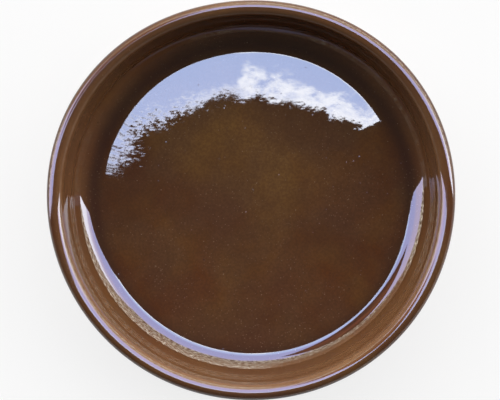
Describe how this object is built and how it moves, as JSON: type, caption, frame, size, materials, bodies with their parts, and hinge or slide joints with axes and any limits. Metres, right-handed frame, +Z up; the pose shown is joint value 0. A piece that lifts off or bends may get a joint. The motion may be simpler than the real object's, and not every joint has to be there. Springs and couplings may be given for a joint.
{
  "type": "plant saucer",
  "caption": "Round glazed ceramic saucer with a flat floor, a leaning wall and a thick rolled rim. It stands under a plant pot and holds the water that drains out.",
  "frame": {"origin": "centre of the ring that the saucer stands on, in the standing plane", "axes": "+Z up, along the axis that the dish is turned about. The dish is round, so +X and +Y are free; +Y points to the top edge of the picture."},
  "size_m": [0.24, 0.24, 0.043],
  "materials": {
    "clay": "matt bare fired buff clay",
    "glaze": "high gloss brown glaze"
  },
  "bodies": {
    "root": {"clay_body": "clay", "glaze_coat": "glaze"}
  },
  "joints": []
}
